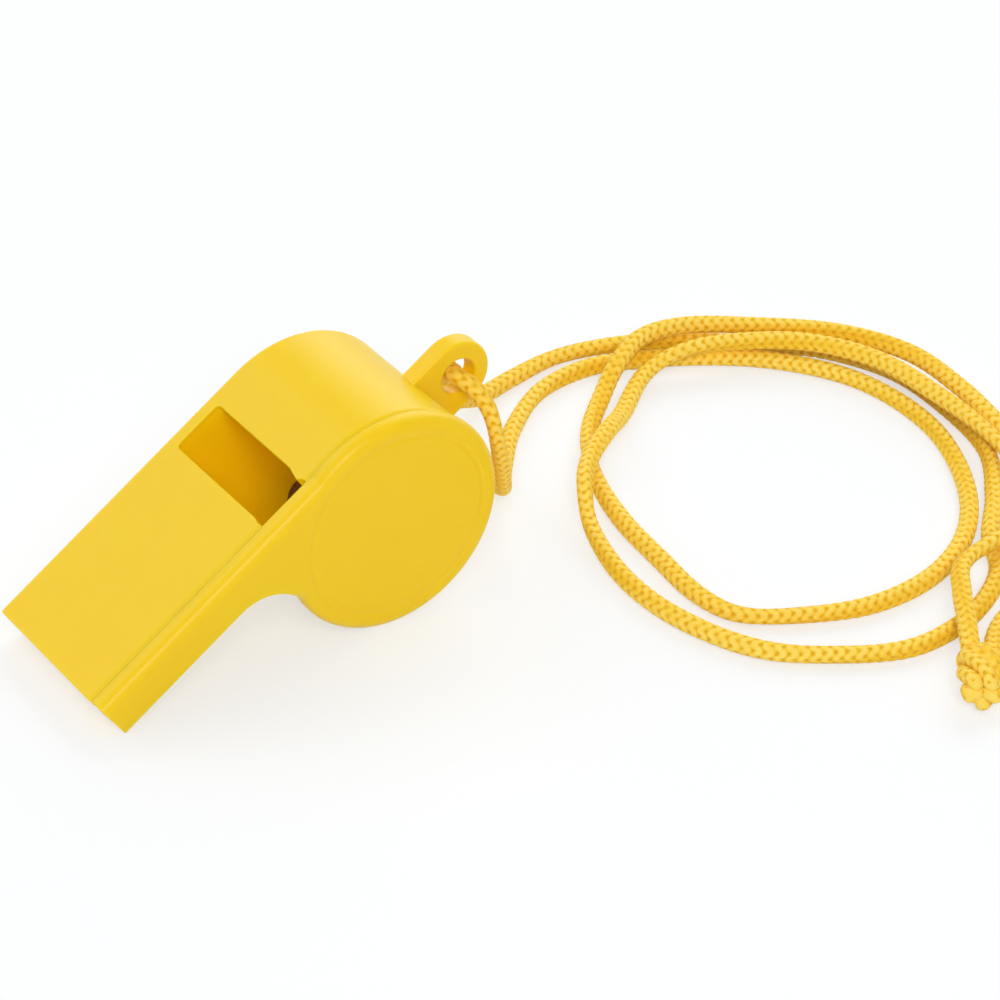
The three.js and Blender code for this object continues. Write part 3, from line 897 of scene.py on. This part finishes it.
class Finish:
    """A material or a world whose nodes are added one expression at a time."""

    def __init__(self, owner):
        self.owner = owner
        owner.use_nodes = True
        self.tree = owner.node_tree
        self.tree.nodes.clear()

    def node(self, kind, settings, inputs, output=0):
        """One node: its settings first, then the values or links of its inputs."""
        made = self.tree.nodes.new("ShaderNode" + kind)
        for key, value in settings.items():
            if key == "stops":
                stops = made.color_ramp.elements
                while len(stops) < len(value):
                    stops.new(0.5)
                for stop, (at, colour) in zip(stops, value):
                    stop.position, stop.color = at, (*colour, 1)
            else:
                setattr(made, key, value)
        for key, value in inputs.items():
            if isinstance(value, Value):
                self.tree.links.new(value.socket, made.inputs[key])
            else:
                made.inputs[key].default_value = value
        return Value(self, made.outputs[output]) if made.outputs else None

    def blend(self, mask, low, high):
        """One colour where the mask is 0, and the other where it is 1."""
        colours = [c if isinstance(c, Value) else (*c, 1) for c in (low, high)]
        return self.node("Mix", {"data_type": "RGBA"}, {0: mask, 6: colours[0], 7: colours[1]}, 2)

    def noise(self, place, scale, detail=2.0, roughness=0.5):
        """Soft random blotches, scale of them to the millimetre."""
        return self.node("TexNoise", {}, {
            "Vector": place, "Scale": scale, "Detail": detail, "Roughness": roughness})

    def bell(self, distance, width):
        """1 in the middle, falling smoothly to 0 past the width."""
        ratio = distance * (1 / width)
        return self.node("Math", {"operation": "POWER"}, {0: math.exp(-1), 1: ratio * ratio})

    def place(self):
        """The object's own coordinates, in millimetres."""
        return self.node("TexCoord", {}, {}, "Object") * (1 / MM)

    def bump(self, height, distance, strength, normal=None):
        """A normal that follows a height, over distance in millimetres."""
        inputs = {"Height": height, "Distance": distance * MM, "Strength": strength}
        if normal is not None:
            inputs["Normal"] = normal
        return self.node("Bump", {}, inputs)

    def surface(self, shader):
        """The material, showing this shader."""
        self.node("OutputMaterial", {}, {"Surface": shader})
        return self.owner


def new_finish(name):
    """An empty material to write expressions in."""
    return Finish(bpy.data.materials.new(name))


print("shader expressions ready")

# %% [markdown]
# The whistle is a satin yellow plastic: a moulded skin with a very fine grain, faint flow marks
# where the melt met itself, and slightly uneven gloss from handling. The walls are thin, so
# daylight comes through them, and the inside of the whistle glows a deep amber. The scattering used
# here carries too little of it through a wall, so the inner faces are found by their place: inside
# the bore, the windway or the window, and between the side walls. There that light is painted in:
# the inner faces get one plain yellow of their own and a faint emission, for the light through the walls.

# %% Yellow plastic
PLASTIC_DEEP = (0.865, 0.582, 0.002)
PLASTIC_LIGHT = (0.885, 0.612, 0.006)
# Painted light on the inner faces: their own base colour and a faint emission, which stand in for light
# through the thin walls.
PLASTIC_INSIDE_PAINTED_LIGHT = (0.87, 0.585, 0.003)
PAINTED_GLOW_INSIDE = (0.095, 0.064, 0.0)
DARK = (0, 0, 0)
WALL_SHARE = 0.3
FADE = 4.0
FLOW_SCALE = 0.16
GRAIN_SCALE = 5.5
HANDLING_SCALE = 0.5
BASE_ROUGHNESS = 0.27
HANDLING_ROUGHNESS = 0.12
GRAIN_ROUGHNESS = 0.06
GRAIN_BUMP = 0.012
FLOW_BUMP = 0.12

toward_lug = (math.cos(lean), 0, math.sin(lean))
toward_top = (-math.sin(lean), 0, math.cos(lean))


def inward(depth):
    """0 where a depth is negative, rising to 1 over a quarter of a millimetre."""
    return (FADE * depth).clipped()


def painted_light_faces(place):
    """1 on the faces inside the whistle, where light through the walls is painted in, and 0 on those
    outside.
    """
    spot = place - tuple(axis / MM)
    out = (spot * (1, 0, 1)).length()
    wide = (spot * (0, 1, 0)).length()
    back = spot.toward(toward_lug)
    rise = spot.toward(toward_top)
    chamber = inward(BORE_RADIUS + WALL_SHARE - out)
    windway = inward(rise - UNDERSIDE - WALL_SHARE)
    window = inward(back - WINDOW_FRONT + WALL_SHARE) * inward(rise)
    below = inward(CHAMBER_RADIUS - WALL_SHARE - rise) * inward(WINDOW_REAR - back)
    between = inward(FAR_INNER + WALL_SHARE - wide)
    return (chamber + (windway + window).clipped() * below).clipped() * between


def make_plastic():
    """Yellow with flow marks and grain outside; inside, a plain yellow and a faint emission painted in for
    the light through the walls.
    """
    finish = new_finish("yellow_moulded_plastic")
    place = finish.place()
    flow = finish.noise(place, FLOW_SCALE, detail=3.0)
    grain = finish.noise(place, GRAIN_SCALE, detail=3.0, roughness=0.6)
    handling = finish.noise(place, HANDLING_SCALE, detail=4.0, roughness=0.6)
    outside = finish.blend(flow, PLASTIC_DEEP, PLASTIC_LIGHT)
    # Painted light: the inner faces take their own colour and a faint emission in place of light through
    # the walls.
    painted_light_mask = painted_light_faces(place)
    colour = finish.blend(painted_light_mask, outside, PLASTIC_INSIDE_PAINTED_LIGHT)
    painted_glow = finish.blend(painted_light_mask, DARK, PAINTED_GLOW_INSIDE)
    roughness = BASE_ROUGHNESS + HANDLING_ROUGHNESS * handling + GRAIN_ROUGHNESS * grain
    skin = finish.bump(grain, GRAIN_BUMP, strength=0.5)
    normal = finish.bump(flow, FLOW_BUMP, strength=0.35, normal=skin)
    return finish.surface(finish.node("BsdfPrincipled", {}, {
        "Base Color": colour,
        "Roughness": roughness.clipped(),
        "Normal": normal,
        "Emission Color": painted_glow,
        "Emission Strength": 1.0,
        "IOR": 1.49,
        "Specular IOR Level": 0.26,
        "Subsurface Weight": 0.4,
        "Subsurface Radius": (1.0, 0.65, 0.1),
        "Subsurface Scale": 0.002,
    }))


plastic = make_plastic()
for piece in (body, cover):
    piece.data.materials.clear()
    piece.data.materials.append(plastic)
print("plastic on", body.name, "and", cover.name)

# %% [markdown]
# The cord is fine synthetic yarn, knitted round. The same formula as in the mesh paints a deep amber
# shade into each hole, the lines between the stitches and the folds, and leaves each stitch's crown a
# pale painted highlight, in some patches more than in others. Thin noise stands for the filaments.
# A little sheen gives the soft edge that fibres have.

# %% Knitted yarn
# The ramp runs from painted shade in the holes and folds, through the yarn's mid tone, to a pale painted
# highlight on the crowns; the fibre and patch noise move it too.
YARN_DEEP_AND_PAINTED_SHADE = (0.80, 0.42, 0.001)
YARN_MID = (0.93, 0.58, 0.012)
YARN_PALE_AND_PAINTED_HIGHLIGHT = (1.0, 0.77, 0.16)
YARN_STOPS = [(0.0, YARN_DEEP_AND_PAINTED_SHADE), (0.45, YARN_MID), (1.0, YARN_PALE_AND_PAINTED_HIGHLIGHT)]
FIBRE_SCALE = 6.0
PATCH_SCALE = 0.9
PATCH_GAIN = 3.0
PATCH_LOW = 0.4
PATCH_SHARE = 1.2
HOLE_SHADE = 0.7
LINE_SHADE = 0.38
FOLD_SHADE = 0.5
YARN_LEVEL = 0.22
FIBRE_SHARE = 0.7
UNEVEN_SHARE = 0.5
YARN_ROUGHNESS = 0.62
FIBRE_ROUGHNESS = 0.2
LINE_BUMP = 0.35
KNIT_BUMP = 0.12
FIBRE_BUMP = 0.05


def make_yarn():
    """Painted shade in the knit's holes, lines and folds and a painted highlight on the crowns, with
    fibres and patches over them.
    """
    finish = new_finish("knitted_yarn")
    uv = finish.node("UVMap", {"uv_map": "knit"}, {})
    turn = finish.node("SeparateXYZ", {}, {"Vector": uv}, "X")
    along = finish.node("SeparateXYZ", {}, {"Vector": uv}, "Y")
    place = STITCH_COLUMNS * (turn + along * (1 / BRAID_TURN))
    column, step = place.away(1.0), (along * (1 / STITCH_LENGTH)).away(0.5)
    holes = (finish.bell(column, HOLE_ACROSS) * finish.bell(step, HOLE_ALONG)
             + finish.bell(1 - column, HOLE_ACROSS) * finish.bell(0.5 - step, HOLE_ALONG))
    lines = finish.bell((along * (1 / STITCH_LENGTH) - column * 0.5).away(0.5), LINE_WIDTH)
    swell = finish.node("Math", {"operation": "SINE"}, {0: along * (2 * math.pi / FOLD_PERIOD)})
    folds = finish.bell(place.away(STITCH_COLUMNS / 4), FOLD_WIDTH) * (FOLD_MEAN + FOLD_SWING * swell)
    fibres = finish.noise(finish.place(), FIBRE_SCALE, detail=4.0, roughness=0.7)
    uneven = finish.noise(finish.place(), PATCH_SCALE)
    patchy = (PATCH_GAIN * uneven - 1.0).clipped()
    # Painted shade: the holes, the lines between stitches and the folds are darkened in the colour, and
    # the crowns are left pale as a painted highlight.
    stitches = (HOLE_SHADE * holes + LINE_SHADE * lines) * (PATCH_LOW + PATCH_SHARE * patchy)
    painted_shade = stitches * (1 - FOLD_CALM * folds) + FOLD_SHADE * folds
    shade = (YARN_LEVEL + FIBRE_SHARE * fibres + UNEVEN_SHARE * uneven - painted_shade).clipped()
    colour = finish.node("ValToRGB", {"stops": YARN_STOPS}, {"Fac": shade})
    knit_height = 1 - holes - LINE_BUMP * lines
    fuzz = finish.bump(fibres, FIBRE_BUMP, strength=0.6)
    weave = finish.bump(knit_height, KNIT_BUMP, strength=0.7, normal=fuzz)
    return finish.surface(finish.node("BsdfPrincipled", {}, {
        "Base Color": colour,
        "Roughness": (YARN_ROUGHNESS + FIBRE_ROUGHNESS * fibres).clipped(),
        "Normal": weave,
        "Sheen Weight": 0.1,
        "Sheen Roughness": 0.4,
        "Sheen Tint": (1.0, 0.85, 0.4, 1.0),
    }))


yarn = make_yarn()
for piece in (cord_near, cord_far, knot):
    piece.data.materials.append(yarn)
print("yarn on", cord_near.name, cord_far.name, "and", knot.name)

# %% [markdown]
# Cork is warm brown, with darker crumbs and pores. Its colour mixes cells with finer specks. Both are
# solid patterns, so they have no seam and don't stretch on the ball, as a picture of cork would.

# %% Cork
CORK_PALE = (0.235, 0.105, 0.035)
CORK_DARK = (0.055, 0.022, 0.008)
CELL_SCALE = 1.5
SPECK_SCALE = 2.6
SPECK_SHARE = 1.9
CELL_SHARE = 0.5
DARK_SHARE = 0.75
CORK_BUMP = 0.08
CORK_ROUGHNESS = 0.75
SPECK_ROUGHNESS = 0.2


def make_cork():
    """Dark crumbs and pores in warm brown."""
    finish = new_finish("pressed_cork")
    place = finish.place()
    cells = finish.node("TexVoronoi", {}, {"Vector": place, "Scale": CELL_SCALE}, "Distance")
    specks = finish.noise(place, SPECK_SCALE, detail=5.0, roughness=0.65)
    mask = (SPECK_SHARE * specks + CELL_SHARE * cells - DARK_SHARE).clipped()
    return finish.surface(finish.node("BsdfPrincipled", {}, {
        "Base Color": finish.blend(mask, CORK_DARK, CORK_PALE),
        "Roughness": (CORK_ROUGHNESS + SPECK_ROUGHNESS * specks).clipped(),
        "Normal": finish.bump(specks, CORK_BUMP, strength=0.7),
    }))


pea.data.materials.append(make_cork())
print("cork on", pea.name)

# %% [markdown]
# A product photograph stands on a seamless white sheet under big soft lights. The two lamps behind
# are slightly cool and the one in front is slightly warm, as in the photo. The sky is white to the
# camera and to the rays that gloss or a clear piece passes on, but it lights the whistle only at
# WORLD_LEVEL. The sheet glows a little for the same rays, which makes it white where nothing shades
# it, and it still takes the soft shadow.

# %% Floor and light
FLOOR_HALF = 1.2
WHITE = (1, 1, 1, 1)
FLOOR_COLOUR = (0.92, 0.955, 1.0, 1)
FLOOR_WHITE = 0.60
WORLD_LEVEL = 0.42
# Each lamp has a place and a size in metres, a power in watts and a colour.
LAMPS = {
    "back_softbox": ((0.72, 0.42, 0.58), 0.9, 4.7, (0.965, 1.0, 1.0)),
    "rear_softbox": ((-0.38, 0.74, 0.76), 0.75, 2.8, (0.965, 1.0, 1.0)),
    "front_softbox": ((-0.35, -0.65, 0.68), 0.4, 4.6, (1.0, 0.95, 0.88)),
}


def backdrop_rays(finish):
    """1 for rays from the camera, and for those that gloss or a clear piece passes on."""
    kinds = ("Is Camera Ray", "Is Glossy Ray", "Is Transmission Ray")
    seen, glossy, through = (finish.node("LightPath", {}, {}, kind) for kind in kinds)
    return (seen + glossy + through).clipped()


def make_floor():
    """The white sheet."""
    corners = [(-FLOOR_HALF, -FLOOR_HALF, 0), (FLOOR_HALF, -FLOOR_HALF, 0),
               (FLOOR_HALF, FLOOR_HALF, 0), (-FLOOR_HALF, FLOOR_HALF, 0)]
    floor = add_mesh("floor", corners, [(0, 1, 2, 3)])
    finish = new_finish("white_sheet")
    paper = finish.node("BsdfDiffuse", {}, {"Color": FLOOR_COLOUR})
    white = finish.node("Emission", {}, {"Color": WHITE, "Strength": 1.0})
    mask = backdrop_rays(finish) * FLOOR_WHITE
    sheet = finish.node("MixShader", {}, {0: mask, 1: paper, 2: white})
    floor.data.materials.append(finish.surface(sheet))


def make_lamps():
    """Soft boxes that face the whistle."""
    for name, (place, size, power, colour) in LAMPS.items():
        lamp = bpy.data.lights.new(name, "AREA")
        lamp.size = size
        lamp.energy = power
        lamp.color = colour
        box = bpy.data.objects.new(name, lamp)
        box.location = place
        box.rotation_euler = Vector(place).to_track_quat("Z", "Y").to_euler()
        bpy.context.scene.collection.objects.link(box)


def make_world():
    """An even white sky."""
    sky = Finish(bpy.data.worlds.new("studio"))
    level = WORLD_LEVEL + (1 - WORLD_LEVEL) * backdrop_rays(sky)
    light = sky.node("Background", {}, {"Color": WHITE, "Strength": level})
    sky.node("OutputWorld", {}, {"Surface": light})
    bpy.context.scene.world = sky.owner


make_floor()
make_lamps()
make_world()
bpy.context.scene.view_settings.view_transform = "Standard"
print("floor and light set")
